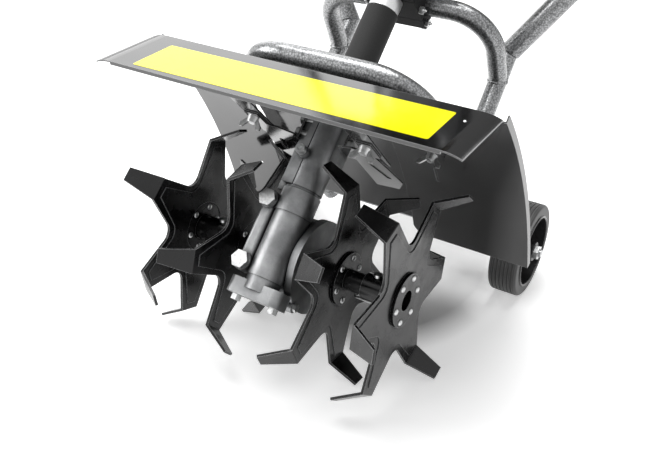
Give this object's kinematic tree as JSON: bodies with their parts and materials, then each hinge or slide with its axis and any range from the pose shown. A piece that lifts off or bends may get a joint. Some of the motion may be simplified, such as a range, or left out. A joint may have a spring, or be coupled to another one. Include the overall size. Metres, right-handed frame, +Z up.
{
  "type": "mini tiller",
  "caption": "Walk-behind mini tiller: worm-geared tine stars under a sheet fender, leaning drive tube with a small engine on top, tube frame on small wheels and split handlebars.",
  "frame": {"origin": "on the floor under the middle of the machine's box", "axes": "+Z up, the tines are at -Y and the grips at +Y, +X along the tine axle to the machine's right seen from the front"},
  "size_m": [0.4716, 0.8457, 0.8479],
  "materials": {
    "frame_grey": "hammered grey enamel over steel tube",
    "fender_black": "gloss black enamel on sheet steel",
    "tine_black": "satin black paint on pressed steel",
    "cast_alloy": "bead-blasted cast aluminium",
    "zinc": "bright zinc plate",
    "steel": "ground steel",
    "bronze": "machined bronze",
    "sleeve_black": "matt black moulded sleeve",
    "wheel_black": "matt black moulded plastic",
    "tyre_black": "matt black rubber",
    "grip_black": "soft black rubber",
    "engine_black": "matt black moulded plastic",
    "engine_alloy": "die-cast aluminium",
    "muffler_steel": "heat-dulled steel",
    "tank_plastic": "natural moulded plastic"
  },
  "bodies": {
    "chassis": {"air_filter": "engine_black", "apron_panel": "fender_black", "arch_tube": "frame_grey", "axle_fittings": "zinc", "clamp_body": "cast_alloy", "clamp_bolts": "zinc", "clamp_front": "cast_alloy", "clamp_rear": "cast_alloy", "clutch_housing": "engine_alloy", "crankcase": "engine_alloy", "cylinder": "engine_alloy", "deck_struts": "fender_black", "drive_tube": "frame_grey", "engine_shroud": "engine_black", "fender_deck": "fender_black", "frame_arms": "frame_grey", "frame_legs": "frame_grey", "front_loop": "frame_grey", "fuel_tank": "tank_plastic", "gear_case": "cast_alloy", "gear_cover": "cast_alloy", "grips": "grip_black", "handlebar_left": "frame_grey", "handlebar_right": "frame_grey", "hex_bolts": "zinc", "muffler": "muffler_steel", "neck_brackets": "fender_black", "oil_plugs": "zinc", "shaft_bearings": "steel", "starter_housing": "engine_black", "throttle_housing": "engine_black", "tube_collar": "cast_alloy", "tube_sleeve": "sleeve_black", "wheel_axle": "zinc", "wing_left": "fender_black", "wing_nuts": "zinc", "wing_right": "fender_black", "worm_bearings": "steel", "worm_cap": "cast_alloy"},
    "tines": {"output_shaft": "steel", "worm_wheel": "bronze", "tine_inner_left": "tine_black", "tine_inner_right": "tine_black", "tine_outer_left": "tine_black", "tine_outer_right": "tine_black", "inner_hubs": "tine_black", "outer_hubs": "tine_black", "tine_pins": "zinc", "hairpin_clips": "zinc"},
    "drive": {"worm_shaft": "steel", "drive_shaft": "steel", "clutch_drum": "steel"},
    "wheel_left": {"wheel_left": "wheel_black", "tyre_left": "tyre_black"},
    "wheel_right": {"wheel_right": "wheel_black", "tyre_right": "tyre_black"},
    "trigger": {"throttle_trigger": "engine_black"},
    "stop_slide": {"stop_switch": "engine_black"},
    "cap": {"fuel_cap": "engine_black"},
    "pull": {"starter_grip": "engine_black"}
  },
  "joints": [
    {"name": "tine_spin", "type": "hinge", "parent": "chassis", "child": "tines", "pos_m": [0, -0.30349, 0.11954], "axis": [1, 0, 0], "continuous": true},
    {"name": "drive_spin", "type": "hinge", "parent": "chassis", "child": "drive", "pos_m": [0, -0.33389, 0.15271], "axis": [0, 0.7373, 0.6756], "continuous": true},
    {"name": "wheel_left_roll", "type": "hinge", "parent": "chassis", "child": "wheel_left", "pos_m": [-0.1675, -0.06299, 0.058], "axis": [1, 0, 0], "continuous": true},
    {"name": "wheel_right_roll", "type": "hinge", "parent": "chassis", "child": "wheel_right", "pos_m": [0.1675, -0.06299, 0.058], "axis": [1, 0, 0], "continuous": true},
    {"name": "throttle_squeeze", "type": "hinge", "parent": "chassis", "child": "trigger", "pos_m": [0.21989, 0.29496, 0.77331], "axis": [1, 0, 0], "range_deg": [0, 12], "stiffness_Nm_per_rad": 0.6, "springref_deg": -2.86},
    {"name": "stop_slide", "type": "slide", "parent": "chassis", "child": "stop_slide", "axis": [0, 0.9659, 0.2588], "range_m": [0, 0.006]},
    {"name": "cap_turn", "type": "hinge", "parent": "chassis", "child": "cap", "pos_m": [0.03, 0.08167, 0.43042], "axis": [0, 0.7373, 0.6756], "range_deg": [0, 270]},
    {"name": "starter_pull", "type": "slide", "parent": "chassis", "child": "pull", "axis": [0, 0, 1], "range_m": [0, 0.6], "stiffness_N_per_m": 20, "springref_m": -0.2}
  ],
  "couplings": [
    {"joint": "drive_spin", "follows": "tine_spin", "ratio": 30}
  ]
}
